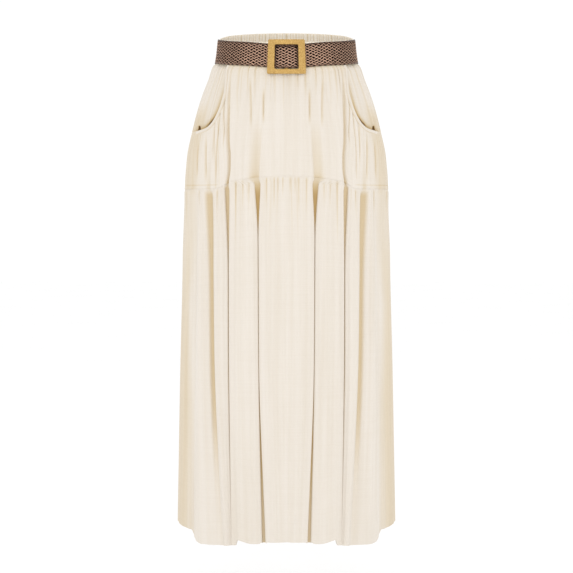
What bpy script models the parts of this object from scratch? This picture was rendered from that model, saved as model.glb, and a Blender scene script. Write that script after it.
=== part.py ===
# A gathered two-tier midi skirt, filled out as worn, with scooped hip pockets and a plaited belt.
# Metres, +Z up. The origin is the middle of the waist at the belt's mid height at the side seams.
# The wearer faces -Y, so the wearer's left is +X. An angle is measured round the waist from the
# front centre towards +X. A level is the height of a ring of cloth where it crosses a side seam.

import math
from collections import namedtuple

import bmesh
import bpy
from mathutils import Vector

# Clearances and walls
GAP = 0.0003  # between pieces that meet at a seam or lie on each other
LAYER_GAP = 0.0018  # between the front and the pocket bag that lies behind it
CLOTH = 0.002  # wall of the skirt's cloth
WAISTBAND_WALL = 0.0024
STRAP_WALL = 0.003
RIM_WALL = 0.0016

# Levels where pieces begin and end
WAISTBAND_TOP = 0.023
STRAP_TOP = 0.0205
WAISTBAND_BOTTOM = -0.0160
STRAP_BOTTOM = -0.0195
TIER_SEAM = -0.240
HEM = -0.822

# The skirt's middle surface, a row for each level. A rise lifts the ring at the front or back
# centre above its level, and the power says how quickly it falls away round the side.
Level = namedtuple("Level", "z half_width front_depth back_depth front_rise back_rise power")
LEVELS = (
    Level(0.0230, 0.1168, 0.0930, 0.0965, -0.0145, 0.020, 1.0),
    Level(-0.0195, 0.1210, 0.0945, 0.0985, -0.0125, 0.020, 1.0),
    Level(-0.0300, 0.1280, 0.0946, 0.1040, -0.0120, 0.020, 1.0),
    Level(-0.0500, 0.1350, 0.0975, 0.1120, -0.0080, 0.020, 1.3),
    Level(-0.0750, 0.1448, 0.1060, 0.1210, -0.0030, 0.020, 1.7),
    Level(-0.1000, 0.1530, 0.1140, 0.1280, 0.0020, 0.020, 2.2),
    Level(-0.1400, 0.1633, 0.1210, 0.1360, 0.0080, 0.020, 2.6),
    Level(-0.1850, 0.1725, 0.1270, 0.1400, 0.0140, 0.021, 3.0),
    Level(-0.2400, 0.1762, 0.1310, 0.1410, 0.0220, 0.022, 3.0),
    Level(-0.3300, 0.1755, 0.1350, 0.1430, 0.0160, 0.016, 2.5),
    Level(-0.5700, 0.1808, 0.1450, 0.1500, 0.0020, 0.004, 1.5),
    Level(-0.7400, 0.1843, 0.1510, 0.1560, -0.0050, -0.003, 1.0),
    Level(-0.8350, 0.1862, 0.1550, 0.1600, -0.0080, -0.005, 1.0),
)

# The long folds of the lower tier, a row for each on one half of a panel, which its other half
# mirrors. Angles are degrees from the panel's centre at the seam, half way down and at the hem.
# Each fold is a shallow V at the seam, which closes to a deep narrow groove below it. Above the
# seam the V fades out up the upper tier, from its own angle to one nearer to the side.
Fold = namedtuple("Fold", "top seam middle hem v_width v_depth v_top mouth depth hem_mouth hem_depth")
FRONT_FOLDS = (
    Fold(23.0, 15.0, 14.3, 11.2, 0.0115, 0.0045, -0.060, 0.0035, 0.016, 0.0065, 0.014),
    Fold(50.0, 32.0, 32.6, 26.5, 0.0070, 0.0045, -0.020, 0.0035, 0.017, 0.0035, 0.015),
    Fold(47.0, 45.2, 42.3, 37.5, 0.0140, 0.0030, -0.170, 0.0095, 0.013, 0.0160, 0.008),
    Fold(70.0, 67.0, 64.0, 58.0, 0.0120, 0.0025, -0.180, 0.0120, 0.008, 0.0100, 0.012),
)
BACK_FOLDS = (
    Fold(14.0, 9.0, 10.0, 12.5, 0.0110, 0.0040, -0.070, 0.0040, 0.015, 0.0070, 0.013),
    Fold(36.0, 27.0, 25.5, 24.0, 0.0080, 0.0040, -0.040, 0.0035, 0.016, 0.0045, 0.014),
    Fold(54.0, 46.0, 47.5, 45.0, 0.0130, 0.0030, -0.130, 0.0080, 0.014, 0.0110, 0.012),
    Fold(70.0, 66.0, 64.0, 66.0, 0.0110, 0.0025, -0.160, 0.0100, 0.011, 0.0090, 0.012),
)
FOLD_SHOULDER = 0.0065  # rounding of the cloth into a groove
FOLD_CLOSES = 0.055  # drop over which the V at the seam closes into a groove
V_FADES_OVER = 0.050  # drop over which the V above the seam grows to its full depth
SIDE_ANGLE = 90.0

FLAT_AT_SEAM = 0.006  # the upper tier lies flat this far above the tier seam

# Levels of the rows of points down the upper tier. A dense row has four points for each gather.
UPPER_ROWS = (
    WAISTBAND_BOTTOM - GAP,
    STRAP_BOTTOM - GAP,
    -0.030,
    -0.055,
    -0.098,
    -0.143,
    -0.190,
    TIER_SEAM + FLAT_AT_SEAM,
    TIER_SEAM + GAP / 2,
)
UPPER_DENSE = (-0.030, -0.055)
POCKET_ROWS = UPPER_ROWS[:4] + (-0.076, -0.098, -0.122, -0.143, -0.190, -0.205)

# Drops below the tier seam of the lower tier's rows, before the one at the hem
LOWER_DENSE = 0.020  # the row with two points for each gather
LOWER_DROPS = (GAP / 2, 0.005, LOWER_DENSE, 0.060, 0.200, 0.400)

# Gathers
FRONT_GATHERS = 46  # round the front of the upper tier, below the belt
BACK_GATHERS = 36
GATHER_HEIGHT = 0.0032
GATHER_RISES = 0.024  # drop below the belt over which a gather rises to its full height
GATHER_LEFT = 0.22  # share of its height that is left where it has faded out
GATHER_FADES = 0.150
GATHER_UNEVEN = 0.28  # share of its height that changes from one to the next
GATHER_SPREAD = 0.72  # how much further round the gathers start at the waist than they end
GATHER_DRIFT = 0.036  # how far they stray sideways, as a share of the way to the side seam
DRIFT_WAVES = 23.0
SIDE_CALM = 0.04  # share of the panel next to a side seam that has no gathers
FRONT_TIER_GATHERS = (8, 4, 3, 5, 5)  # under the tier seam, between folds, from the centre out
BACK_TIER_GATHERS = (5, 5, 5, 5, 5)
TIER_GATHER_HEIGHT = 0.0016
TIER_GATHER_FLAT = 0.005  # drop below the seam where they start
TIER_GATHER_RISES = 0.012
TIER_GATHER_FADES = 0.035
LOBE_CROWN = 0.0045  # how far the cloth swells between two folds
CROWN_RISES = 0.120  # drop over which it swells

# The pocket's mouth, a row for each point of its curve from the waistband to the side seam
MouthPoint = namedtuple("MouthPoint", "angle level")
MOUTH = (
    MouthPoint(55.5, -0.0160),
    MouthPoint(53.5, -0.0265),
    MouthPoint(49.4, -0.0542),
    MouthPoint(46.3, -0.0800),
    MouthPoint(46.4, -0.0960),
    MouthPoint(48.2, -0.1162),
    MouthPoint(51.8, -0.1314),
    MouthPoint(56.6, -0.1389),
    MouthPoint(63.8, -0.1419),
    MouthPoint(78.0, -0.1430),
    MouthPoint(90.0, -0.1432),
)
MOUTH_STEPS = 3  # points of the curve for each row
CALM_REACH = 0.016  # gathers grow to their full height this far from the rim
RIM_WIDTH = 0.0045
RIM_SEAT = 0.0005  # clear space between the rim and the front
POCKET_INNER = 37.0  # degrees, the bag's edge behind the front
POCKET_DEPTH = 0.0125  # the most that the bag stands off the front
POCKET_COLUMNS = 18
PANEL_FOLD = 0.0009  # half the height of the hip panel's soft folds
PANEL_MEETS_FRONT = 70.0  # degrees past which the panel comes out to the side seam
PANEL_MEETS_LEVEL = -0.136  # and the level above which it does

# Buckle and strap
BUCKLE_WIDTH = 0.063
BUCKLE_HEIGHT = 0.0575
WINDOW_WIDTH = 0.0393
WINDOW_TOP = 0.0078  # rim of metal above the window
WINDOW_BOTTOM = 0.0084
BUCKLE_WALL = 0.0032
BUCKLE_DROP = 0.0034  # its middle lies below the strap's
BAR_WIDTH = 0.006
BAR_WALL = 0.0018
STRAP_LIFT = BAR_WALL + 2 * GAP  # the strap stands out over the hidden bar
LIFT_REACH = 0.032
STRAP_EDGE = 0.0009  # rounding of the strap's edges
BUCKLE_BEVEL = 0.0009
BUCKLE_CORNER = 0.0024
WINDOW_CORNER = 0.0022
BAR_LEG = 0.0019  # height of the bar where it passes above and below the strap
WAISTBAND_COLUMNS = 60
STRAP_COLUMNS = 80

# One colour for each kind of piece: red, green, blue, roughness, metallic
Finish = namedtuple("Finish", "red green blue roughness metallic")
CLOTH_FINISH = Finish(0.87, 0.80, 0.70, 0.9, 0.0)
WAISTBAND_FINISH = Finish(0.72, 0.58, 0.39, 0.9, 0.0)
LEATHER_FINISH = Finish(0.33, 0.19, 0.13, 0.55, 0.0)
BRASS_FINISH = Finish(0.62, 0.43, 0.15, 0.35, 1.0)


def clear_scene():
    for item in list(bpy.data.objects):
        bpy.data.objects.remove(item)


def smooth_step(value):
    value = min(max(value, 0.0), 1.0)
    return value * value * (3.0 - 2.0 * value)


def mix(first, second, share):
    return first + (second - first) * share


def eased_between(rows, keys, wanted):
    """The row at a key, eased between the listed ones without overshoot."""
    rising = keys[-1] > keys[0]
    order = keys if rising else [-key for key in keys]
    wanted = wanted if rising else -wanted
    wanted = min(max(wanted, order[0]), order[-1])
    last = len(order) - 1
    index = next(i for i in range(last) if wanted <= order[i + 1])

    def slope(i, column):
        if i in (0, last):
            near = (0, 1) if i == 0 else (last - 1, last)
            return (rows[near[1]][column] - rows[near[0]][column]) / (order[near[1]] - order[near[0]])
        before = (rows[i][column] - rows[i - 1][column]) / (order[i] - order[i - 1])
        after = (rows[i + 1][column] - rows[i][column]) / (order[i + 1] - order[i])
        if before * after <= 0.0:
            return 0.0
        return 2.0 * before * after / (before + after)

    span = order[index + 1] - order[index]
    t = (wanted - order[index]) / span
    values = []
    for column in range(len(rows[0])):
        start, end = rows[index][column], rows[index + 1][column]
        lead, trail = slope(index, column) * span, slope(index + 1, column) * span
        values.append(
            (2 * t**3 - 3 * t**2 + 1) * start
            + (t**3 - 2 * t**2 + t) * lead
            + (3 * t**2 - 2 * t**3) * end
            + (t**3 - t**2) * trail
        )
    return values


def section(level):
    return Level(*eased_between(LEVELS, [row.z for row in LEVELS], level))


def ring_point(angle, level, out=0.0, along=0.0):
    """A point of the skirt's middle surface, moved out along its normal and sideways along it."""
    at = section(level)
    turn = math.radians(angle)
    sine, cosine = math.sin(turn), math.cos(turn)
    depth = at.front_depth if cosine > 0.0 else at.back_depth
    rise = at.front_rise if cosine > 0.0 else at.back_rise
    normal = Vector((sine / at.half_width, -cosine / depth, 0.0)).normalized()
    tangent = Vector((-normal.y, normal.x, 0.0))
    place = Vector((at.half_width * sine, -depth * cosine, level + rise * abs(cosine) ** at.power))
    return place + normal * out + tangent * along


def surface_normal(angle, level):
    """The outward normal of the middle surface, with its slope down the skirt."""
    across = ring_point(angle + 1.0, level) - ring_point(angle - 1.0, level)
    down = ring_point(angle, level - 0.004) - ring_point(angle, level + 0.004)
    return down.cross(across).normalized()


def arc_degrees(angle, level, distance):
    """A distance along the ring, as an angle, near a given angle."""
    at = section(level)
    turn = math.radians(angle)
    depth = at.front_depth if abs(angle) <= SIDE_ANGLE else at.back_depth
    radius = math.hypot(at.half_width * math.cos(turn), depth * math.sin(turn))
    return math.degrees(distance / radius)


def seam_angle(level):
    """The angle at which a panel stops, half a gap short of the side seam."""
    return SIDE_ANGLE - math.degrees(GAP / 2 / section(level).front_depth)


def mouth_curve():
    keys = list(range(len(MOUTH)))
    steps = (len(MOUTH) - 1) * MOUTH_STEPS
    return [MouthPoint(*eased_between(MOUTH, keys, i / MOUTH_STEPS)) for i in range(steps + 1)]


MOUTH_CURVE = mouth_curve()
MOUTH_PLACES = [ring_point(point.angle, point.level) for point in MOUTH_CURVE]


def calm_near_mouth(angle, level):
    """0 at the pocket's mouth, rising to 1 where the gathers are free of it."""
    place = ring_point(min(abs(angle), SIDE_ANGLE), level)
    nearest = min((place - edge).length for edge in MOUTH_PLACES)
    return smooth_step((nearest - RIM_WIDTH) / CALM_REACH)


# Upper tier


def down_upper_tier(level):
    """0 at the waistband, 1 at the tier seam, as the gathers move sideways on their way down."""
    return smooth_step((WAISTBAND_BOTTOM - level) / (WAISTBAND_BOTTOM - TIER_SEAM)) ** 0.7


def recess(angle, level, folds):
    """How far the cloth dips above and at the tier seam, where the long folds lead up into it."""
    way = down_upper_tier(level)
    dip = 0.0
    for fold in folds:
        middle = mix(fold.top, fold.seam, way)
        away = abs(abs(angle) - middle) / arc_degrees(middle, level, fold.v_width)
        if away < 1.0:
            grown = smooth_step((fold.v_top - level) / V_FADES_OVER)
            dip += grown * fold.v_depth * (0.5 + 0.5 * math.cos(math.pi * away))
    return dip


def gather_angle(share, level):
    """A gather hangs more steeply than the cloth widens, so it nears the centre on its way down."""
    side = abs(share)
    waist = side * (1.0 + GATHER_SPREAD * (1.0 - side))
    uneven = GATHER_DRIFT * math.sin(DRIFT_WAVES * side) * side * (1.0 - side)
    return math.copysign(mix(waist, side, down_upper_tier(level)) + uneven, share) * seam_angle(level)


def upper_point(column, columns, level, has_pockets):
    share = 2.0 * column / columns - 1.0
    angle = gather_angle(share, level)
    wave = math.cos(math.pi / 2 * (column - columns / 2))
    drop = STRAP_BOTTOM - level
    fade = (1.0 - GATHER_LEFT) * smooth_step((drop - GATHER_RISES) / GATHER_FADES)
    rise = smooth_step(drop / GATHER_RISES) * (1.0 - fade)
    rise *= smooth_step((level - TIER_SEAM - FLAT_AT_SEAM) / (5 * FLAT_AT_SEAM))
    uneven = 1.0 - GATHER_UNEVEN * (1.0 - math.cos(11.0 * math.pi * abs(share)))
    rise *= smooth_step((1.0 - abs(share)) / SIDE_CALM)
    out = GATHER_HEIGHT * rise * uneven * (0.5 + 0.5 * wave)
    if has_pockets:
        calm = calm_near_mouth(angle, level)
        return ring_point(angle, level, calm * (out - recess(angle, level, FRONT_FOLDS)))
    return ring_point(180.0 - angle, level, out - recess(angle, level, BACK_FOLDS))


# Sheets are built row by row. A row is a list of (key, point). Of two rows that meet, the one with
# fewer points holds only keys that the other has.


def bridge_rows(bm, fuller, barer, fuller_keys, barer_keys):
    for i in range(len(barer_keys) - 1):
        first = fuller_keys.index(barer_keys[i])
        last = fuller_keys.index(barer_keys[i + 1])
        if last - first == 1:
            bm.faces.new((fuller[first], barer[i], barer[i + 1], fuller[last]))
            continue
        half = (first + last) // 2
        for k in range(first, half):
            bm.faces.new((fuller[k], barer[i], fuller[k + 1]))
        bm.faces.new((fuller[half], barer[i], barer[i + 1]))
        for k in range(half, last):
            bm.faces.new((fuller[k], barer[i + 1], fuller[k + 1]))


def sheet_object(name, rows, wall, finish):
    """A sheet through rows of keyed points, from the top down, thickened evenly to both sides."""
    bm = bmesh.new()
    made = [([key for key, _ in row], [bm.verts.new(point) for _, point in row]) for row in rows]
    for pair in zip(made, made[1:]):
        (fuller_keys, fuller), (barer_keys, barer) = sorted(pair, key=lambda row: -len(row[0]))
        bridge_rows(bm, fuller, barer, fuller_keys, barer_keys)
    bmesh.ops.recalc_face_normals(bm, faces=bm.faces)
    piece = new_object(name, bm, finish)
    thicken = piece.modifiers.new("wall", "SOLIDIFY")
    thicken.thickness = wall
    thicken.offset = 0.0
    thicken.use_even_offset = True
    return piece


def new_object(name, bm, finish):
    mesh = bpy.data.meshes.new(name)
    bm.to_mesh(mesh)
    bm.free()
    mesh.shade_smooth()
    mesh.set_sharp_from_angle(angle=math.radians(40))
    piece = bpy.data.objects.new(name, mesh)
    bpy.context.scene.collection.objects.link(piece)
    mesh.materials.append(new_material(name, finish))
    return piece


def new_material(name, finish):
    material = bpy.data.materials.new(name)
    material.use_nodes = True
    shader = material.node_tree.nodes["Principled BSDF"]
    shader.inputs["Base Color"].default_value = (finish.red, finish.green, finish.blue, 1.0)
    shader.inputs["Roughness"].default_value = finish.roughness
    shader.inputs["Metallic"].default_value = finish.metallic
    return material


def upper_tier(name, gathers, has_pockets):
    columns = gathers * 4
    rows = []
    for level in UPPER_ROWS:
        step = 1 if level in UPPER_DENSE else 2
        rows.append([(k, upper_point(k, columns, level, has_pockets)) for k in range(0, columns + 1, step)])
    return sheet_object(name, rows, CLOTH, CLOTH_FINISH)


# Pocket mouths


def cut_mouth(front, side):
    """Cuts the front along one pocket's mouth, with a prism through it from front to back."""
    edge = [(place.x * side, place.z) for place in MOUTH_PLACES]
    far = side * 0.30
    above = 0.06
    outline = edge + [(far, edge[-1][1]), (far, above), (edge[0][0], above)]
    bm = bmesh.new()
    near_face = bm.faces.new([bm.verts.new((x, -0.30, z)) for x, z in outline])
    pulled = bmesh.ops.extrude_face_region(bm, geom=[near_face])
    for vert in pulled["geom"]:
        if isinstance(vert, bmesh.types.BMVert):
            vert.co.y = 0.02
    bmesh.ops.recalc_face_normals(bm, faces=bm.faces)
    cutter = new_object(f"mouth_cutter_{'left' if side > 0 else 'right'}", bm, CLOTH_FINISH)
    cutter.hide_render = True
    cutter.display_type = "WIRE"
    cut = front.modifiers.new("pocket mouth", "BOOLEAN")
    cut.operation = "DIFFERENCE"
    cut.solver = "EXACT"
    cut.object = cutter


def pocket_rim(name, side):
    """The rolled edge that is sewn over the mouth, on the front's outer face."""
    base = CLOTH / 2 + RIM_SEAT + RIM_WALL / 2
    profile = ((0.0, -0.5), (0.08, 0.3), (0.5, 0.6), (0.92, 0.3), (1.0, -0.5))  # across, lift
    shown = [point for point in MOUTH_CURVE if point.level < STRAP_BOTTOM - 3 * GAP and point.angle < 89.0]
    bm = bmesh.new()
    loops = []
    for i, point in enumerate(shown):
        before, after = shown[max(i - 1, 0)], shown[min(i + 1, len(shown) - 1)]
        way = (ring_point(after.angle, after.level) - ring_point(before.angle, before.level)).normalized()
        normal = surface_normal(point.angle, point.level)
        inward = way.cross(normal).normalized()
        tangent = Vector((math.cos(math.radians(point.angle)), math.sin(math.radians(point.angle)), 0.0))
        loop = []
        for across, lift in profile:
            distance = across * RIM_WIDTH + GAP
            level = point.level + inward.z * distance
            angle = point.angle + arc_degrees(point.angle, level, inward.dot(tangent) * distance)
            place = ring_point(angle, level) + normal * (base + lift * RIM_WALL)
            loop.append(bm.verts.new((place.x * side, place.y, place.z)))
        loops.append(loop)
    close_tube(bm, loops)
    return new_object(name, bm, CLOTH_FINISH)


def close_tube(bm, loops):
    """Joins closed loops in turn and caps both ends."""
    count = len(loops[0])
    for first, second in zip(loops, loops[1:]):
        for k in range(count):
            n = (k + 1) % count
            bm.faces.new((first[k], first[n], second[n], second[k]))
    bm.faces.new(list(reversed(loops[0])))
    bm.faces.new(loops[-1])
    bmesh.ops.recalc_face_normals(bm, faces=bm.faces)


def pocket_offset(angle, level):
    """How far the hip panel lies inside the front's middle surface."""
    across = smooth_step((angle - POCKET_INNER) / 14.0) * smooth_step((SIDE_ANGLE - angle) / 24.0)
    down = smooth_step((STRAP_BOTTOM - level) / 0.05) * smooth_step((level - POCKET_ROWS[-1]) / 0.04)
    shown = smooth_step((angle - PANEL_MEETS_FRONT) / 16.0) * smooth_step((level - PANEL_MEETS_LEVEL) / 0.02)
    return -(CLOTH + LAYER_GAP) * (1.0 - shown) - POCKET_DEPTH * across * down


def pocket_panel(name, side):
    """The hip panel seen inside the mouth, which runs on down behind the front as the bag."""
    rows = []
    for level in POCKET_ROWS:
        row = []
        last = seam_angle(level)
        for k in range(POCKET_COLUMNS + 1):
            share = k / POCKET_COLUMNS
            angle = mix(POCKET_INNER, last, share)
            fold = PANEL_FOLD * math.cos(math.pi / 2 * k) * smooth_step((STRAP_BOTTOM - level) / 0.02)
            fold *= smooth_step((1.0 - share) / 0.2) * smooth_step(share / 0.3)
            dip = max(recess(angle + near, level, FRONT_FOLDS) for near in (-5.0, -2.5, 0.0, 2.5, 5.0))
            place = ring_point(angle, level, pocket_offset(angle, level) + fold - dip)
            row.append((k, Vector((place.x * side, place.y, place.z))))
        rows.append(row)
    return sheet_object(name, rows, CLOTH, CLOTH_FINISH)


# Lower tier


def fold_at(fold, level):
    """Angle, mouth and depth of a fold's groove at a level."""
    way = (TIER_SEAM - level) / (TIER_SEAM - HEM)
    keys = (0.0, 0.5, 1.0)
    rows = (
        (fold.seam, fold.mouth, fold.depth),
        (fold.middle, fold.mouth, fold.depth),
        (fold.hem, fold.hem_mouth, fold.hem_depth),
    )
    return eased_between(rows, keys, way)


def groove_edge(fold, level):
    """Distance along the ring from a fold's middle to where the cloth starts to turn into it."""
    half = fold_at(fold, level)[1] / 2 + CLOTH / 2
    return mix(fold.v_width, half + FOLD_SHOULDER, fold_closed(level))


def fold_closed(level):
    return smooth_step((TIER_SEAM - level) / FOLD_CLOSES)


def fold_points(fold, side, level, place):
    """The points across one fold: its V at the seam, mixed into its groove further down."""
    angle, mouth, depth = fold_at(fold, level)
    half = mouth / 2 + CLOTH / 2
    groove = (
        (-half - FOLD_SHOULDER, 0.0),
        (-half - 0.3 * FOLD_SHOULDER, -0.3 * FOLD_SHOULDER),
        (-half, -FOLD_SHOULDER),
        (-half, -depth),
        (half, -depth),
        (half, -FOLD_SHOULDER),
        (half + 0.3 * FOLD_SHOULDER, -0.3 * FOLD_SHOULDER),
        (half + FOLD_SHOULDER, 0.0),
    )
    shares = (-1.0, -0.62, -0.36, -0.12, 0.12, 0.36, 0.62, 1.0)
    closed = fold_closed(level)
    points = []
    for share, (along, out) in zip(shares, groove):
        turn = arc_degrees(angle, level, share * fold.v_width)
        dip = fold.v_depth * (0.5 + 0.5 * math.cos(math.pi * share))
        shallow = place(side * angle + turn, level, -dip, 0.0)
        points.append(shallow.lerp(place(side * angle, level, out, along), closed))
    return points


def lobe_bulge(share, lobe, lobes):
    """How full a lobe is across its width. The first and last are half a lobe, cut at a side seam."""
    if lobe == 0:
        return 1.0 - share**2
    if lobe == lobes - 1:
        return 1.0 - (1.0 - share) ** 2
    return 1.0 - (2.0 * share - 1.0) ** 2


def tier_row(level, folds, gathers, step, place):
    """One row of a lower panel, from one side seam to the other: folds with gathers between."""
    drop = TIER_SEAM - level
    swell = LOBE_CROWN * smooth_step(drop / CROWN_RISES)
    gather = TIER_GATHER_HEIGHT * smooth_step((drop - TIER_GATHER_FLAT) / TIER_GATHER_RISES)
    gather *= 1.0 - smooth_step((drop - LOWER_DENSE) / TIER_GATHER_FADES)
    stops = [(-1, fold) for fold in reversed(folds)] + [(1, fold) for fold in folds]
    counts = list(reversed(gathers[1:])) + list(gathers)
    last_lobe = len(counts) - 1
    row = []
    start = -seam_angle(level)
    for lobe, count in enumerate(counts):
        end = seam_angle(level)
        if lobe < last_lobe:
            side, fold = stops[lobe]
            middle = side * fold_at(fold, level)[0]
            edge = arc_degrees(middle, level, groove_edge(fold, level))
            end = middle - edge
        columns = count * 2
        for k in range(0, columns + 1, step):
            if (k == 0 and lobe > 0) or (k == columns and lobe < last_lobe):
                continue
            share = k / columns
            at_side = (lobe == 0 and k < 2) or (lobe == last_lobe and k > columns - 2)
            wave = 0.0 if at_side or k in (0, columns) else gather * math.cos(math.pi * k)
            out = swell * lobe_bulge(share, lobe, last_lobe + 1) + wave
            row.append(((lobe, k), place(mix(start, end, share), level, out, 0.0)))
        if lobe < last_lobe:
            points = fold_points(fold, side, level, place)
            row += [((lobe, columns + 1 + n), point) for n, point in enumerate(points)]
            start = middle + edge
    return row


def place_in_back(angle, level, out, along):
    return ring_point(180.0 - angle, level, out, -along)


def lower_tier(name, folds, gathers, place):
    rows = []
    for drop in LOWER_DROPS:
        step = 1 if drop == LOWER_DENSE else 2
        rows.append(tier_row(TIER_SEAM - drop, folds, gathers, step, place))
    rows.append(tier_row(HEM, folds, gathers, 2, place))
    return sheet_object(name, rows, CLOTH, CLOTH_FINISH)


# Waistband, strap and buckle


def closed_ring(name, section_points, columns, finish):
    """A closed band: section_points(angle) gives the loop round its wall at one angle."""
    bm = bmesh.new()
    loops = []
    for k in range(columns):
        loops.append([bm.verts.new(place) for place in section_points(360.0 * k / columns)])
    for first, second in zip(loops, loops[1:] + loops[:1]):
        for i in range(len(first)):
            n = (i + 1) % len(first)
            bm.faces.new((first[i], first[n], second[n], second[i]))
    bmesh.ops.recalc_face_normals(bm, faces=bm.faces)
    return new_object(name, bm, finish)


def waistband_section(angle):
    half = WAISTBAND_WALL / 2
    corners = (
        (WAISTBAND_BOTTOM, -half),
        (WAISTBAND_BOTTOM, half),
        (WAISTBAND_TOP - half, half),
        (WAISTBAND_TOP, 0.0),
        (WAISTBAND_TOP - half, -half),
    )
    return [ring_point(angle, level, out) for level, out in corners]


def strap_out(angle):
    """How far the strap's middle lies outside the waistband's middle, with its lift at the buckle."""
    away = abs((angle + 180.0) % 360.0 - 180.0)
    distance = math.radians(away) * section(0.0).half_width
    lift = STRAP_LIFT * (1.0 - smooth_step((distance - BAR_WIDTH) / LIFT_REACH))
    return WAISTBAND_WALL / 2 + GAP + STRAP_WALL / 2 + lift


def strap_section(angle):
    half = STRAP_WALL / 2
    soft = STRAP_EDGE
    corners = (
        (STRAP_BOTTOM + soft, -half),
        (STRAP_BOTTOM, -half + soft),
        (STRAP_BOTTOM, half - soft),
        (STRAP_BOTTOM + soft, half),
        (STRAP_TOP - soft, half),
        (STRAP_TOP, half - soft),
        (STRAP_TOP, -half + soft),
        (STRAP_TOP - soft, -half),
    )
    return [ring_point(angle, level, strap_out(angle) + out) for level, out in corners]


def on_strap(across, level, out):
    """A point measured on the strap: across from the front centre, up it, and out from its face."""
    angle = math.degrees(across / section(0.0).half_width)
    bottom = ring_point(angle, STRAP_BOTTOM, strap_out(angle) + out)
    top = ring_point(angle, STRAP_TOP, strap_out(angle) + out)
    return bottom.lerp(top, (level - STRAP_BOTTOM) / (STRAP_TOP - STRAP_BOTTOM))


def rounded_rectangle(width, height, radius, side_steps, corner_steps):
    """Points round a rectangle with round corners, with the top and bottom sides divided."""
    points = []
    for turn, (sx, sy) in enumerate(((1, -1), (1, 1), (-1, 1), (-1, -1))):
        centre = (sx * (width / 2 - radius), sy * (height / 2 - radius))
        for step in range(corner_steps + 1):
            angle = math.pi / 2 * (turn - 1 + step / corner_steps)
            points.append((centre[0] + radius * math.cos(angle), centre[1] + radius * math.sin(angle)))
        if turn in (1, 3):
            reach = (width - 2 * radius) * (-1 if turn == 1 else 1)
            for step in range(1, side_steps):
                points.append((centre[0] + reach * step / side_steps, points[-1][1]))
    return points


def buckle_frame():
    """The square frame in front of the strap, curved as the strap is, and the bar behind it."""
    window_height = BUCKLE_HEIGHT - WINDOW_TOP - WINDOW_BOTTOM
    window_drop = (WINDOW_TOP - WINDOW_BOTTOM) / 2
    middle = (STRAP_TOP + STRAP_BOTTOM) / 2 - BUCKLE_DROP
    back = STRAP_WALL / 2 + GAP
    bevel = BUCKLE_BEVEL
    outer = (BUCKLE_WIDTH, BUCKLE_HEIGHT, BUCKLE_CORNER, 0.0)
    inner = (WINDOW_WIDTH, window_height, WINDOW_CORNER, -window_drop)
    # The loop runs up the outer side, over the front face and back down inside the window.
    layers = (
        (outer, -2 * bevel, 0.0),
        (outer, 0.0, bevel),
        (outer, 0.0, BUCKLE_WALL - bevel),
        (outer, -2 * bevel, BUCKLE_WALL),
        (inner, 2 * bevel, BUCKLE_WALL),
        (inner, 0.0, BUCKLE_WALL - bevel),
        (inner, 0.0, bevel),
        (inner, 2 * bevel, 0.0),
    )
    bm = bmesh.new()
    loops = []
    for (width, height, radius, shift), grow, lift in layers:
        points = rounded_rectangle(width + grow, height + grow, radius + grow / 2, 8, 3)
        loops.append([bm.verts.new(on_strap(x, middle + z + shift, back + lift)) for x, z in points])
    for first, second in zip(loops, loops[1:] + loops[:1]):
        for i in range(len(first)):
            n = (i + 1) % len(first)
            bm.faces.new((first[i], first[n], second[n], second[i]))
    bmesh.ops.recalc_face_normals(bm, faces=bm.faces)
    frame = new_object("buckle", bm, BRASS_FINISH)
    bar = buckle_bar(middle, back)
    join = frame.modifiers.new("hidden bar", "BOOLEAN")
    join.operation = "UNION"
    join.solver = "EXACT"
    join.object = bar
    return frame


def buckle_bar(middle, back):
    """The bar that the strap is folded round: from the frame's top, behind the strap, to its bottom."""
    leg = BAR_LEG
    top = middle + BUCKLE_HEIGHT / 2 - WINDOW_TOP / 2 + leg / 2
    bottom = middle - BUCKLE_HEIGHT / 2 + WINDOW_BOTTOM - leg
    behind = -STRAP_WALL / 2 - GAP - BAR_WALL
    front = back + BUCKLE_WALL / 2
    outline = (
        (top, front),
        (top, behind),
        (bottom, behind),
        (bottom, front),
        (bottom + leg, front),
        (bottom + leg, behind + BAR_WALL),
        (top - leg, behind + BAR_WALL),
        (top - leg, front),
    )
    bm = bmesh.new()
    sides = []
    for across in (-BAR_WIDTH / 2, BAR_WIDTH / 2):
        sides.append([bm.verts.new(on_strap(across, level, out)) for level, out in outline])
    close_tube(bm, sides)
    bar = new_object("buckle_bar_shape", bm, BRASS_FINISH)
    bar.hide_render = True
    bar.display_type = "WIRE"
    return bar


def main():
    clear_scene()
    closed_ring("waistband", waistband_section, WAISTBAND_COLUMNS, WAISTBAND_FINISH)
    front = upper_tier("front_upper_tier", FRONT_GATHERS, True)
    for side in (1, -1):
        cut_mouth(front, side)
    upper_tier("back_upper_tier", BACK_GATHERS, False)
    for side, hand in ((1, "left"), (-1, "right")):
        pocket_panel(f"{hand}_pocket_panel", side)
        pocket_rim(f"{hand}_pocket_rim", side)
    lower_tier("front_lower_tier", FRONT_FOLDS, FRONT_TIER_GATHERS, ring_point)
    lower_tier("back_lower_tier", BACK_FOLDS, BACK_TIER_GATHERS, place_in_back)
    closed_ring("belt_strap", strap_section, STRAP_COLUMNS, LEATHER_FINISH)
    buckle_frame()


main()
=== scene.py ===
import math

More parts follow.
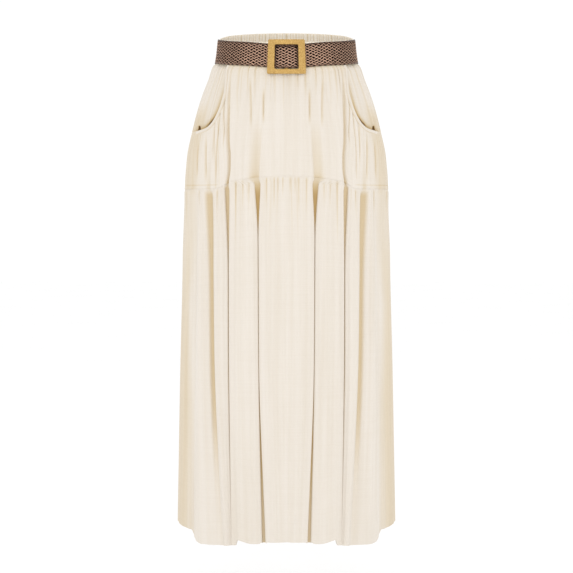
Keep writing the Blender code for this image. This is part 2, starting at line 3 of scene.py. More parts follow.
import bmesh
import bpy
import numpy as np
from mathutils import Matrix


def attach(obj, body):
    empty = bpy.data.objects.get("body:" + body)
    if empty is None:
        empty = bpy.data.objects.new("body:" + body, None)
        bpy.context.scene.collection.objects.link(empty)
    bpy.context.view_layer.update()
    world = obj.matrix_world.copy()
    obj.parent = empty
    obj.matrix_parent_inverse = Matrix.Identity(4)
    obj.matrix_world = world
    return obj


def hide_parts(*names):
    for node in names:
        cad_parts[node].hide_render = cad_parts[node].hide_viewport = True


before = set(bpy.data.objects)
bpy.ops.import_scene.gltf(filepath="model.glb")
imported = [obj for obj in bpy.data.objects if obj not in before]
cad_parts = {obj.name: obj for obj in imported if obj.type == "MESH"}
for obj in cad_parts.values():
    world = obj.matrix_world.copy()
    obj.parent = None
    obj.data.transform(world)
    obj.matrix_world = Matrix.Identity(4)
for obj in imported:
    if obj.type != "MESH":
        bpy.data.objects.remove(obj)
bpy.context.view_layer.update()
rng = np.random.default_rng(7)  # every uneven thing below comes from this one seed
print("frame loaded")

# the skirt's form, shared by all its pieces

form = {
    "cloth": 0.002,
    "gap": 0.0003,
    "seamGap": 0.0001,
    "waistTop": 0.0215,
    "strapTop": 0.0209,
    "waistBottom": -0.016,
    "strapBottom": -0.0208,
    "tierSeam": -0.24,
    "hem": -0.822,
}

# level at the side seam, half width, depth in front, depth behind,
# lift of the ring at the front centre, at the back centre, and how fast that lift falls away
rings = (
    (0.0215, 0.1156, 0.093, 0.0965, -0.0145, 0.0186, 1),
    (-0.0195, 0.121, 0.0945, 0.0985, -0.0125, 0.02, 1),
    (-0.03, 0.128, 0.0946, 0.104, -0.012, 0.02, 1),
    (-0.05, 0.135, 0.0975, 0.112, -0.008, 0.02, 1.3),
    (-0.075, 0.1448, 0.106, 0.121, -0.003, 0.02, 1.7),
    (-0.1, 0.153, 0.114, 0.128, 0.002, 0.02, 2.2),
    (-0.14, 0.1633, 0.121, 0.136, 0.008, 0.02, 2.6),
    (-0.185, 0.1725, 0.127, 0.14, 0.014, 0.021, 3),
    (-0.24, 0.1762, 0.131, 0.141, 0.022, 0.022, 3),
    (-0.33, 0.1755, 0.135, 0.143, 0.016, 0.016, 2.5),
    (-0.57, 0.1808, 0.145, 0.15, 0.002, 0.004, 1.5),
    (-0.74, 0.1843, 0.151, 0.156, -0.005, -0.003, 1),
    (-0.835, 0.1862, 0.155, 0.16, -0.008, -0.005, 1),
)


def smooth(value, width=1):
    value = np.clip(value / width, 0, 1)
    return value * value * (3 - 2 * value)


def mix(first, second, share):
    return first + (second - first) * share


def bell(distance, width):
    return np.exp(-((distance / width) ** 2))


def fade(distance, reach):
    return np.exp(-np.maximum(distance, 0) / reach)


def fromFront(angle):
    # how far round from the front centre, whichever way
    return np.abs((angle + 180) % 360 - 180)


def eased(rows, keys, wanted):
    # rows eased from key to key without overshoot, at each wanted key
    rows, keys, wanted = (np.asarray(v, float) for v in (rows, keys, wanted))
    if keys[-1] < keys[0]:
        keys, wanted = -keys, -wanted
    steps = np.diff(keys)[:, None]
    rise = np.diff(rows, axis=0) / steps
    slope = np.zeros_like(rows)
    slope[0], slope[-1] = rise[0], rise[-1]
    both = rise[:-1] * rise[1:]
    total = np.where(both > 0, rise[:-1] + rise[1:], 1)
    slope[1:-1] = np.where(both > 0, 2 * both / total, 0)
    wanted = np.clip(wanted, keys[0], keys[-1])
    i = np.clip(np.searchsorted(keys, wanted) - 1, 0, len(keys) - 2)
    span = steps[i, 0]
    t = ((wanted - keys[i]) / span)[..., None]
    span = span[..., None]
    return (
        (2 * t**3 - 3 * t**2 + 1) * rows[i]
        + (t**3 - 2 * t**2 + t) * slope[i] * span
        + (3 * t**2 - 2 * t**3) * rows[i + 1]
        + (t**3 - t**2) * slope[i + 1] * span
    )


def ringAt(level):
    return np.moveaxis(eased(rings, [row[0] for row in rings], level), -1, 0)


def place(angle, level, out=0, along=0):
    # angle in degrees from the front centre towards the wearer's left, out along the ring's normal
    _, halfWidth, front, back, frontLift, backLift, power = ringAt(level)
    turn = np.radians(angle)
    sine, cosine = np.sin(turn), np.cos(turn)
    depth = np.where(cosine > 0, front, back)
    lift = np.where(cosine > 0, frontLift, backLift)
    nx, ny = sine / halfWidth, -cosine / depth
    size = np.hypot(nx, ny)
    nx, ny = nx / size, ny / size
    x = halfWidth * sine + nx * out - ny * along
    y = -depth * cosine + ny * out + nx * along
    z = level + lift * np.abs(cosine) ** power + 0 * x
    return np.stack([x, y, z], axis=-1)


def degrees(angle, level, distance):
    # a distance along the ring, as an angle
    _, halfWidth, front, back, *_ = ringAt(level)
    turn = np.radians(angle)
    depth = np.where(np.abs(angle) <= 90, front, back)
    return np.degrees(distance / np.hypot(halfWidth * np.cos(turn), depth * np.sin(turn)))


def seamAngle(level):
    return 90 - np.degrees(form["gap"] / 2 / ringAt(level)[2])


# making and finishing sheets


def deselect():
    if bpy.context.object and bpy.context.object.mode != "OBJECT":
        bpy.ops.object.mode_set(mode="OBJECT")
    bpy.ops.object.select_all(action="DESELECT")


def pick(piece):
    deselect()
    piece.select_set(True)
    bpy.context.view_layer.objects.active = piece


def added(operator, **settings):
    deselect()
    operator(**settings)
    return bpy.context.object


def setPoints(piece, points):
    piece.data.vertices.foreach_set("co", np.ascontiguousarray(points, np.float32).ravel())
    piece.data.update()


def getPoints(piece):
    points = np.empty(len(piece.data.vertices) * 3, np.float32)
    piece.data.vertices.foreach_get("co", points)
    return points.reshape(-1, 3).astype(float)


def gridPiece(name, columns, rows):
    # a flat grid whose points run row by row from the top, each row from left to right
    piece = added(bpy.ops.mesh.primitive_grid_add, x_subdivisions=columns, y_subdivisions=rows, size=2)
    piece.name = piece.data.name = name
    flat = getPoints(piece)
    return piece, (flat[:, 0] + 1) / 2, (1 - flat[:, 1]) / 2


def stepOf(share, count):
    # which of a grid's even steps each place lies at
    return np.rint(share * count).astype(int)


def lengthAlong(points):
    return np.concatenate([[0], np.cumsum(np.linalg.norm(np.diff(points, axis=0), axis=1))])


def lay(piece, points, folded, across=None, down=None):
    # points, the shade painted on each of them, deepest in the folds, which the colour follows, and its place
    # on the flat cloth
    setPoints(piece, points)
    layer = piece.data.attributes.new("folded", "FLOAT", "POINT")
    layer.data.foreach_set("value", np.clip(folded, 0, 1.25).astype(np.float32))
    if across is not None:
        corner = np.empty(len(piece.data.loops), np.int32)
        piece.data.loops.foreach_get("vertex_index", corner)
        pairs = np.stack([across[corner], down[corner]], -1).astype(np.float32)
        piece.data.uv_layers[0].data.foreach_set("uv", pairs.ravel())


def applyModifiers(piece):
    pick(piece)
    for modifier in list(piece.modifiers):
        bpy.ops.object.modifier_apply(modifier=modifier.name)


def edit(piece, operator, **settings):
    # one edit-mode operator on the whole mesh
    pick(piece)
    bpy.ops.object.mode_set(mode="EDIT")
    bpy.ops.mesh.select_all(action="SELECT")
    operator(**settings)
    bpy.ops.object.mode_set(mode="OBJECT")


def closeUp(piece, angle=180, distance=1e-5):
    # merged, facing out, and smooth up to an angle
    edit(piece, bpy.ops.mesh.remove_doubles, threshold=distance)
    edit(piece, bpy.ops.mesh.normals_make_consistent, inside=False)
    bpy.ops.object.shade_smooth_by_angle(angle=math.radians(angle))
    return piece


def thicken(piece):
    # an open sheet round the skirt first faces away from its upright middle line
    faces = piece.data.polygons
    if sum(f.normal.x * f.center.x + f.normal.y * f.center.y for f in faces) < 0:
        piece.data.flip_normals()
    solidify = piece.modifiers.new("wall", "SOLIDIFY")
    solidify.thickness = form["cloth"]
    solidify.offset = 0
    applyModifiers(piece)
    bpy.ops.object.shade_smooth_by_angle(angle=math.radians(50))
    return piece


def onMesh(piece, work, *values):
    bm = bmesh.new()
    bm.from_mesh(piece.data)
    work(bm, *values)
    bm.to_mesh(piece.data)
    bm.free()


def dropFaces(bm, unwanted):
    bmesh.ops.delete(bm, geom=[face for face in bm.faces if unwanted(face)], context="FACES")
    bmesh.ops.remove_doubles(bm, verts=bm.verts, dist=2e-5)


def joined(name, parts):
    deselect()
    for part in parts:
        part.select_set(True)
    bpy.context.view_layer.objects.active = parts[0]
    bpy.ops.object.join()
    piece = bpy.context.object
    piece.name = piece.data.name = name
    return piece


def dress(piece, material, slot, *nodes):
    piece.data.materials.clear()
    piece.data.materials.append(material)
    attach(piece, "root")
    if nodes:
        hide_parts(*nodes)
    return piece


# materials


def newMaterial(name, coordinates="Object"):
    material = bpy.data.materials.new(name)
    material.use_nodes = True
    tree = material.node_tree
    coords = addNode(tree, "ShaderNodeTexCoord").outputs[coordinates]
    return material, tree, tree.nodes["Principled BSDF"], coords


def give(tree, socket, value):
    # a value is a number, a colour or another node's output
    if isinstance(value, bpy.types.NodeSocket):
        tree.links.new(value, socket)
    else:
        socket.default_value = (*value, 1) if isinstance(value, tuple) and socket.type == "RGBA" else value


def addNode(tree, kind, **settings):
    node = tree.nodes.new(kind)
    for key, value in settings.items():
        if key in node.inputs:
            give(tree, node.inputs[key], value)
        else:
            setattr(node, key, value)
    return node


def noiseOn(tree, source, scale, detail=3, rough=0.55, stretch=(1, 1, 1)):
    place = addNode(tree, "ShaderNodeMapping", Vector=source, Scale=stretch).outputs["Vector"]
    noise = addNode(tree, "ShaderNodeTexNoise", Vector=place, Scale=scale, Detail=detail, Roughness=rough)
    return noise.outputs["Fac"]


def ramp(tree, source, *stops):
    # a stop is its place and a colour, or one number for a grey
    node = tree.nodes.new("ShaderNodeValToRGB")
    while len(node.color_ramp.elements) < len(stops):
        node.color_ramp.elements.new(0.5)
    for element, (position, colour) in zip(node.color_ramp.elements, stops):
        element.position = position
        element.color = (*colour, 1) if isinstance(colour, tuple) else (colour, colour, colour, 1)
    tree.links.new(source, node.inputs["Fac"])
    return node.outputs["Color"]


def blendColours(tree, first, second, share=1, kind="MULTIPLY"):
    node = addNode(tree, "ShaderNodeMix", data_type="RGBA", blend_type=kind)
    for socket, value in zip([s for s in node.inputs if s.enabled], (share, first, second)):
        give(tree, socket, value)
    return [s for s in node.outputs if s.enabled][0]


def maths(tree, kind, *values):
    node = addNode(tree, "ShaderNodeMath", operation=kind)
    for socket, value in zip(node.inputs, values):
        give(tree, socket, value)
    return node.outputs["Value"]


def finish(tree, shader, colour, roughness, height, strength, distance):
    bump = addNode(tree, "ShaderNodeBump", Height=height, Strength=strength, Distance=distance)
    give(tree, shader.inputs["Base Color"], colour)
    give(tree, shader.inputs["Roughness"], roughness)
    give(tree, shader.inputs["Normal"], bump.outputs["Normal"])


# colours from the lit cloth through painted shade in folds and creases to painted shadow in openings
clothLook = {
    "light": (0.725, 0.673, 0.609),  # the lit colour, on the crown of a fold
    "warmShade": (0.675, 0.592, 0.47),
    "deep": (0.575, 0.45, 0.27),  # painted shade at the bottom of a fold
    "crackShade": (0.46, 0.31, 0.13),
    "dark": (0.12, 0.06, 0.015),  # painted shadow inside an opening
    "threads": 1500,  # per metre
    "crinkle": 0.55,
}


def clothMaterial(name, look):
    material, tree, shader, uv = newMaterial(name, "UV")
    folded = addNode(tree, "ShaderNodeAttribute", attribute_name="folded").outputs["Fac"]
    streak = noiseOn(tree, uv, 1, 4, stretch=(150, 3, 1))  # narrow lengthwise crinkles
    broad = noiseOn(tree, uv, 1, 2, stretch=(60, 3, 1))
    slub = noiseOn(tree, uv, 1, 2, stretch=(12, 520, 1))  # thicker crosswise threads
    # the ramp paints light on the crowns, shade in the folds and shadow in openings, as the folded attribute
    # says
    colour = ramp(tree, maths(tree, "MULTIPLY", folded, 0.8), (0, look["light"]), (0.24, look["warmShade"]),
                  (0.6, look["deep"]), (0.8, look["crackShade"]), (1, look["dark"]))
    # painted shade where the crinkles and broad waves are low, and darker crosswise slubs
    for noise, low, shade, high in ((streak, 0.3, (0.965, 0.955, 0.935), 0.62),
                                    (broad, 0.34, (0.97, 0.962, 0.945), 0.6),
                                    (slub, 0.35, (0.984, 0.98, 0.971), 0.6)):
        colour = blendColours(tree, colour, ramp(tree, noise, (low, shade), (high, 1)))
    # plain weave: two waves across each other
    scaled = addNode(tree, "ShaderNodeMapping", Vector=uv, Scale=(look["threads"], look["threads"], 1))
    split = addNode(tree, "ShaderNodeSeparateXYZ", Vector=scaled.outputs["Vector"])
    warp, weft = [maths(tree, "SINE", maths(tree, "MULTIPLY", split.outputs[way], math.pi)) for way in "XY"]
    relief = streak
    for part, height in ((broad, 1.2), (slub, 0.12), (maths(tree, "MULTIPLY", warp, weft), 0.03)):
        relief = maths(tree, "ADD", relief, maths(tree, "MULTIPLY", part, height))
    roughness = ramp(tree, streak, (0, 0.98), (1, 0.86))
    finish(tree, shader, colour, roughness, relief, look["crinkle"], 0.0016)
    for socket, value in (("Sheen Weight", 0.18), ("Sheen Roughness", 0.5), ("Specular IOR Level", 0.2)):
        shader.inputs[socket].default_value = value
    return material


skirtCloth = clothMaterial("creamCrinkledCotton", clothLook)
# the waistband's copy of the cloth, painted lighter to make up for the shade it lies in
waistLightenedLook = {**clothLook, "light": (0.94, 0.875, 0.78), "warmShade": (0.86, 0.76, 0.6), "crinkle": 0.3}
waistLightenedCloth = clothMaterial("waistbandCottonLightened", waistLightenedLook)

beltLook = {"lit": (0.92, 0.57, 0.4), "shade": (0.022, 0.006, 0.001), "grain": 900, "gloss": 0.2}


def leatherMaterial(name, look):
    material, tree, shader, coords = newMaterial(name)
    patch = noiseOn(tree, coords, 170)
    grain = noiseOn(tree, coords, look["grain"], 4)
    folded = addNode(tree, "ShaderNodeAttribute", attribute_name="folded").outputs["Fac"]
    tone = ramp(tree, patch, (0.3, tuple(0.62 * v for v in look["lit"])), (0.68, look["lit"]))
    # patchy tone, with painted shade mixed in where the folded attribute says
    colour = blendColours(tree, tone, look["shade"], folded, "MIX")
    finish(tree, shader, colour, ramp(tree, grain, (0.3, 0.36), (0.7, 0.52)), grain, 0.35, 0.0002)
    shader.inputs["Specular IOR Level"].default_value = look["gloss"]
    return material


beltLeather = leatherMaterial("plaitedBrownLeather", beltLook)
# the core seen through the plait's openings: a dark backing, made near black to stand in for the shade deep
# in the openings
coreLook = {"lit": (0.01, 0.003, 0.001), "shade": (0.01, 0.003, 0.001), "grain": 600, "gloss": 0.04}
beltDark = leatherMaterial("beltCoreBackingAndShade", coreLook)

goldLook = {"face": (0.66, 0.445, 0.165), "dull": (0.4, 0.24, 0.072), "grain": 800}


def goldMaterial(name, look):
    material, tree, shader, coords = newMaterial(name)
    grain = noiseOn(tree, coords, look["grain"], 3, 0.6)
    patch = noiseOn(tree, coords, 220)
    tone = ramp(tree, grain, (0.32, look["dull"]), (0.62, look["face"]))
    finish(tree, shader, tone, ramp(tree, patch, (0.3, 0.5), (0.7, 0.68)), grain, 0.8, 0.0004)
    shader.inputs["Metallic"].default_value = 1
    return material


buckleGold = goldMaterial("brushedGold", goldLook)
print("materials made")

# long folds of one half of each panel, which the other half mirrors. The crease above the seam: its line as
# (level, degrees from the panel's centre), its depth, its reach towards the centre and towards the side, and
# the level where it starts. The groove below the seam: its angle at the seam, half way down and at the hem,
# its mouth at the same three (0 leaves a soft valley), its depth half way and at the hem, the drop over which
# it closes, and how much shade is painted inside it

frontFolds = (
    (((-0.016, 19), (-0.081, 17), (-0.169, 14.9), (-0.24, 15.6)), 0.0026, 0.004, 0.022, -0.125,
     16.1, 15.1, 11.9, 0.0105, 0.0004, 0.005, 0.004, 0.006, 0.1, 1),
    (((-0.016, 48.5), (-0.045, 45.3), (-0.072, 41.3), (-0.107, 38.2), (-0.1405, 36.4), (-0.166, 34.8),
      (-0.192, 33.2), (-0.217, 32.8), (-0.24, 33.8)),
     0.0042, 0.0026, 0.007, -0.035, 34.9, 33.2, 29.9, 0.0085, 0.001, 0.0002, 0.005, 0.0006, 0.15, 0.66),
    (((-0.016, 48), (-0.24, 47.9)), 0.0024, 0.0058, 0.009, -0.19,
     47.9, 44.2, 36.4, 0, 0, 0, 0.0045, 0.0006, 0.1, 0.7),
    (((-0.016, 70), (-0.24, 64)), 0.0008, 0.008, 0.012, -0.19,
     64, 62.5, 60.5, 0, 0, 0, 0.0001, 0.0018, 0.1, 0.7),
)
backFolds = (
    (((-0.016, 16), (-0.24, 9)), 0.0035, 0.0045, 0.014, -0.07,
     9, 10, 12.5, 0.0095, 0.0012, 0.0045, 0.005, 0.006, 0.1, 0.9),
    (((-0.016, 38), (-0.24, 27)), 0.0038, 0.004, 0.01, -0.04,
     27, 25.5, 24, 0.008, 0.001, 0.0008, 0.005, 0.003, 0.13, 0.75),
    (((-0.016, 54), (-0.24, 46)), 0.0028, 0.008, 0.011, -0.15,
     46, 47.5, 45, 0, 0, 0, 0.0055, 0.003, 0.1, 0.7),
    (((-0.016, 70), (-0.24, 66)), 0.0016, 0.011, 0.011, -0.18,
     66, 64, 66, 0, 0, 0, 0.003, 0.005, 0.1, 0.7),
)
# small sharp creases in the front's upper tier: line, depth, where it starts and where it starts to fade,
# reach towards the centre and towards the side
smallCreases = (
    (((-0.016, 29), (-0.05, 26), (-0.111, 22), (-0.168, 20.4), (-0.22, 20)),
     0.0015, -0.04, -0.12, 0.0018, 0.005),
    (((-0.016, 17), (-0.081, 14.9), (-0.169, 13), (-0.22, 12.8)), 0.0019, -0.06, -0.115, 0.002, 0.0045),
    (((-0.05, 44.5), (-0.1, 43.2), (-0.15, 39), (-0.21, 37.2)), 0.0017, -0.075, -0.15, 0.0013, 0.003),
    (((-0.08, 47.5), (-0.13, 44.5), (-0.21, 42)), 0.0015, -0.095, -0.205, 0.0014, 0.0034),
    (((-0.11, 49.5), (-0.15, 47.3), (-0.21, 44.6)), 0.0013, -0.118, -0.175, 0.0014, 0.0028),
    (((-0.14, 56), (-0.165, 52.9), (-0.21, 50.5)), 0.0017, -0.146, -0.205, 0.0016, 0.0065),
    (((-0.143, 64.5), (-0.165, 61.5), (-0.21, 59.3)), 0.0016, -0.15, -0.2, 0.0016, 0.007),
)
# the front's gathers under the seam, for each lobe from the centre outwards: degrees from the front's
# centre, how sharp the pinch is, and how far down it runs
seamGathers = (
    ((2, 0.3, 0.035), (4.6, 0.26, 0.03), (6.6, 0.36, 0.06), (10.8, 0.3, 0.06)),
    ((20.8, 0.3, 0.04), (24.4, 0.26, 0.05), (28.6, 0.6, 0.12)),
    ((37.5, 0.3, 0.05), (41, 0.3, 0.04)),
    ((52.5, 0.3, 0.04), (57, 0.3, 0.05)),
    ((68, 0.2, 0.04), (76, 0.2, 0.05)),
)
# how much lower than its plain level the hem hangs, by angle; the second crease makes a small step
hemDrops = (
    (0, 0), (10, 0.002), (15, 0.005), (19, 0.005), (25.8, 0), (27, 0.01), (34, 0.013),
    (50, 0.017), (54.5, 0.0155), (58.5, 0.009), (61.5, 0), (90, -0.001),
)


def hemShift(angle, level):
    # only the last part of the lower tier follows the uneven hem
    return -np.interp(np.abs(angle), *zip(*hemDrops)) * smooth(-0.56 - level, 0.26) ** 1.5


def downUpper(level):
    waist, seam = form["waistBottom"], form["tierSeam"]
    return smooth((waist - level) / (waist - seam)) ** 0.7


def besideLine(angle, level, line):
    # distance from a line of the table above, towards the side
    middle = eased([row[1:] for row in line], [row[0] for row in line], level)[..., 0]
    return (np.abs(angle) - middle) / degrees(middle, level, 1)


def recess(angle, level, folds):
    # how far the cloth dips above and at the seam: steep towards the centre, gentle towards the side
    dip = np.zeros_like(angle + level)
    for line, depth, inner, outer, starts, *_ in folds:
        away = besideLine(angle, level + 0 * angle, line)
        side = np.where(away < 0, 1 - smooth(-away / inner), 1 - smooth(away / outer - 0.3, 0.7))
        grown = 0.3 * smooth(starts - level, 0.04) + 0.7 * smooth(starts - level, 0.12)
        dip += grown * depth * side
    return dip


def smallCrease(angle, level):
    dip = np.zeros_like(angle)
    for line, depth, starts, ends, inner, outer in smallCreases:
        away = besideLine(angle, level, line)
        side = np.where(away < 0, 1 - smooth(-away / inner), 1 - smooth(away / outer))
        dip += depth * side * smooth(starts - level, 0.03) * smooth((level - ends) / 0.03 + 1)
    return dip


def seamSag(angle, level):
    # the hips hang lower at the seam than the middle of the front does, with a step at the second crease
    *_, lift, _, power = ringAt(level)
    turn = np.radians(np.minimum(np.abs(angle), 90))
    step = smooth(np.abs(angle) - 31, 12)
    return -0.92 * lift * np.abs(np.cos(turn)) ** power * step * bell(level - form["tierSeam"], 0.045)


def strapSag(angle):
    # the strap hangs a little lower at the front centre, under the buckle's weight, and just behind the sides
    away = fromFront(angle)
    front = 0.0036 * np.clip((np.cos(np.radians(angle)) - 0.75) / 0.25, 0, 1) ** 3
    return front + 0.0042 * smooth(away - 82, 20) * smooth(150 - away, 42)


def gatherAngle(share, level):
    side = np.abs(share)
    waist = side * (1 + 0.72 * (1 - side))
    uneven = 0.036 * np.sin(23 * side) * side * (1 - side)
    return np.sign(share) * (mix(waist, side, downUpper(level)) + uneven) * seamAngle(level)


def unevenPhase(share, count, spread=0.75):
    # gathers of unequal width: which gather each place lies in, and how far across it
    edges = np.concatenate([[0], np.cumsum(1 + spread * rng.uniform(-1, 1, count))])
    return np.clip(np.interp(share, edges / edges[-1], np.arange(count + 1)), 0, count - 1e-6)


def ridges(phase, heights, lengths, drop, starts, sharp=0.75):
    # rounded ridges side by side with narrow valleys, each fading out at its own length, and the shade
    # at the bottom of the valleys beside them
    index = np.clip(np.floor(phase).astype(int), 0, len(heights) - 1)
    bump = np.abs(np.sin(math.pi * (phase - np.floor(phase)))) ** sharp
    starts = np.broadcast_to(starts, heights.shape)[index]
    size = heights[index] * (1 - smooth((drop - starts) / lengths[index]))
    return bump * size, (1 - bump) ** 2.2 * size


# for each kind of gather: how uneven the widths are, the heights and the power that thins out the tall ones,
# the lengths, the drops below the belt where they start, and how sharp they are
gatherKinds = {
    "main": (0.75, (0.3, 1), 1.3, (0.03, 0.13), (-0.004, 0.02), 0.6),
    "small": (0.75, (0, 1), 1, (0.02, 0.1), (-0.004, 0.02), 0.6),
    "long": (0.9, (0.1, 1), 1.6, (0.12, 0.28), (0.02, 0.09), 0.7),  # beside and below the pockets
    "panelWave": (0.75, (0.3, 1), 1, (0.1, 0.2), (0, 0.05), 1),
    "panelSmall": (0.75, (0, 1), 1, (0.03, 0.09), (-0.004, 0.02), 0.7),
}


def gathers(kind, share, count, drop):
    spread, sizes, power, lengths, starts, sharp = gatherKinds[kind]
    phase = unevenPhase(share, count, spread)
    heights, lengths, starts = (rng.uniform(*ends, count) for ends in (sizes, lengths, starts))
    return ridges(phase, heights**power, lengths, drop, starts, sharp)


# the pockets' mouths

# angle, level, and how much shade is painted on the hip panel beside that place
mouth = (
    (55.5, -0.016, 0),
    (53.5, -0.0265, 0),
    (49.4, -0.0542, 0.15),
    (46.3, -0.08, 0.55),
    (46.4, -0.096, 0.75),
    (48.2, -0.1162, 1),
    (51.8, -0.1314, 1.5),
    (56.6, -0.1385, 0.95),
    (63, -0.1408, 0.6),
    (71, -0.1414, 0.2),
    (90, -0.1414, 0),
)
pocket = {
    "rimWidth": 0.0062,
    "rimWall": 0.0022,
    "calm": 0.004,
    "behind": 0.0016,  # free space between the front and the hip panel
    "inner": 37,
    "depth": 0.0045,
    "bottom": -0.205,
    "columns": 104,
    "rowsAbove": 70,  # above the mouth's lower end
    "rowsBelow": 31,
}
mouthCurve = eased(mouth, range(len(mouth)), np.linspace(0, len(mouth) - 1, 121))
mouthPlaces = place(mouthCurve[:, 0], mouthCurve[:, 1])


def nearMouth(places, axes=(0, 1, 2)):
    # distance to the mouth's edge, and which point of its curve is nearest
    away = np.full(places.shape[:-1], 9.0)
    which = np.zeros(places.shape[:-1], int)
    for i, edge in enumerate(mouthPlaces[:, axes]):
        distance = np.linalg.norm(places - edge, axis=-1)
        closer = distance < away
        away[closer], which[closer] = distance[closer], i
    return away, which


def mouthAngle(level):
    return np.interp(-level, -mouthCurve[:, 1], mouthCurve[:, 0], left=0, right=200)


# upper tier

upperTier = {
    "gathers": {"front": 50, "back": 42},
    "main": 0.0024,  # heights
    "small": 0.0011,
    "soft": 0.0009,
    "long": 0.0018,
    "seamRoll": 0.0004,
    "stitchLine": 0.0062,  # above the seam
    "columns": {"front": 440, "back": 290},
    "rows": 100,
}


def upperTierPiece(name, side):
    isFront = side == "front"
    folds = frontFolds if isFront else backFolds
    count = upperTier["gathers"][side]
    piece, across, down = gridPiece(name, upperTier["columns"][side], upperTier["rows"])
    share = 2 * across - 1
    top, bottom = form["waistBottom"] - form["gap"], form["tierSeam"] + form["seamGap"] / 2
    # rows lie closer under the waist and at the stitched seam
    level = mix(top, bottom, np.interp(down, (0, 0.3, 0.86, 1), (0, 0.22, 0.9375, 1)))
    angle = gatherAngle(share, level)
    drop = form["strapBottom"] - strapSag(angle if isFront else 180 - angle) - level
    # main gathers, each with its own width, height and length, and smaller ones over them
    tall, low = gathers("main", across, count, drop)
    small, smallLow = gathers("small", across, int(count * 2.3), drop)
    beside = smooth(np.abs(share) - 0.3, 0.16)
    long, longLow = gathers("long", across, int(count * 1.9), drop)
    soft = 0.5 + 0.5 * np.cos(18 * share + 2 * np.sin(5 * share) + 3 * level)
    grow = smooth(drop + 0.0005, 0.004)
    calmEnds = smooth(1 - np.abs(share), 0.04)
    atSeam = smooth(level - bottom - 0.003, 0.02)
    out = upperTier["main"] * tall + upperTier["small"] * small + upperTier["soft"] * soft
    out = (out + upperTier["long"] * long * beside) * grow * calmEnds * atSeam
    out *= 1 - 0.8 * smooth(np.abs(angle) - 56, 24)
    roll = upperTier["seamRoll"] * bell(level - bottom, 0.0035)
    dip = recess(angle, level, folds)
    # painted shade at the bottom of the gathers' valleys
    valley = 1.7 * low + 1.2 * smallLow + 2.1 * longLow * beside
    if isFront:
        away, which = nearMouth(place(np.minimum(np.abs(angle), 90), level))
        calm = smooth(away - 0.002, 0.008)
        dip = dip * smooth(away - pocket["rimWidth"], pocket["calm"])
        crease = smallCrease(angle, level)
        stitch = bell(level - bottom - upperTier["stitchLine"], 0.0009) * smooth(np.abs(angle) - 40, 3)
        points = place(angle, level, calm * out - dip - crease + roll - 0.0003 * stitch)
        points[:, 2] += seamSag(angle, level)
        # painted shade in the recesses and creases, stronger just above the seam, and along the stitch line
        shaded = dip / 0.0095 * (1 + 1.2 * fade(level - bottom, 0.005)) + crease / 0.0036 + 0.3 * stitch
    else:
        calm = 1
        points = place(180 - angle, level, out - dip + roll)
        # painted shade in the recesses
        shaded = dip / 0.0095
    # painted shade under the belt and where the cloth turns to the side
    underBeltShade = 0.18 * fade(drop, 0.014) + 0.45 * fade(drop, 0.0018)
    turnedShade = 0.8 * turnedAwayShade(angle, 54) * smooth(-0.06 - level, 0.09)
    folded = 0.5 * grow * valley * calm * calmEnds + shaded + underBeltShade + turnedShade
    lay(piece, points, folded, angle / 90 * 0.24, -level)
    if isFront:
        # what lies past the mouth goes, and the last points kept are drawn onto its curve
        past = (np.abs(angle) > mouthAngle(level)) & (level > mouthCurve[-1, 1])
        hand = np.stack([np.sign(angle), np.ones_like(angle), np.ones_like(angle)], -1)
        setPoints(piece, np.where(past[:, None], mouthPlaces[which] * hand, points))
        onMesh(piece, dropFaces, lambda face: all(past[v.index] for v in face.verts))
    return thicken(piece)


def turnedAwayShade(angle, starts, most=0.38):
    # painted shade: the cloth is a little warmer and darker where it turns to the side
    return most * smooth(np.abs(angle) - starts, 14)


frontUpper = dress(upperTierPiece("upperTierFront", "front"), skirtCloth, "skirt_cloth", "front_upper_tier")
backUpper = dress(upperTierPiece("upperTierBack", "back"), skirtCloth, "skirt_cloth", "back_upper_tier")
print("upper tier made")


def pocketOffset(angle, level):
    # the hip panel lies just inside the mouth, comes level with the front past its end, and
    # turns in most at the mouth's outer end, where a small opening shows, darkened with painted shadow
    behind = form["cloth"] + pocket["behind"]
    flush = smooth(angle - 72, 3) * (level > -0.1415)
    across = smooth(angle - pocket["inner"], 14) * smooth(74 - angle, 12)
    down = smooth(form["strapBottom"] - level, 0.08) * smooth(level - pocket["bottom"], 0.04)
    corner = bell(angle - 71, 1.7) * smooth(-0.1275 - level, 0.009) * smooth(level + 0.16, 0.02)
    return -behind * (1 - flush) - pocket["depth"] * across * down * (1 - flush) - 0.003 * corner


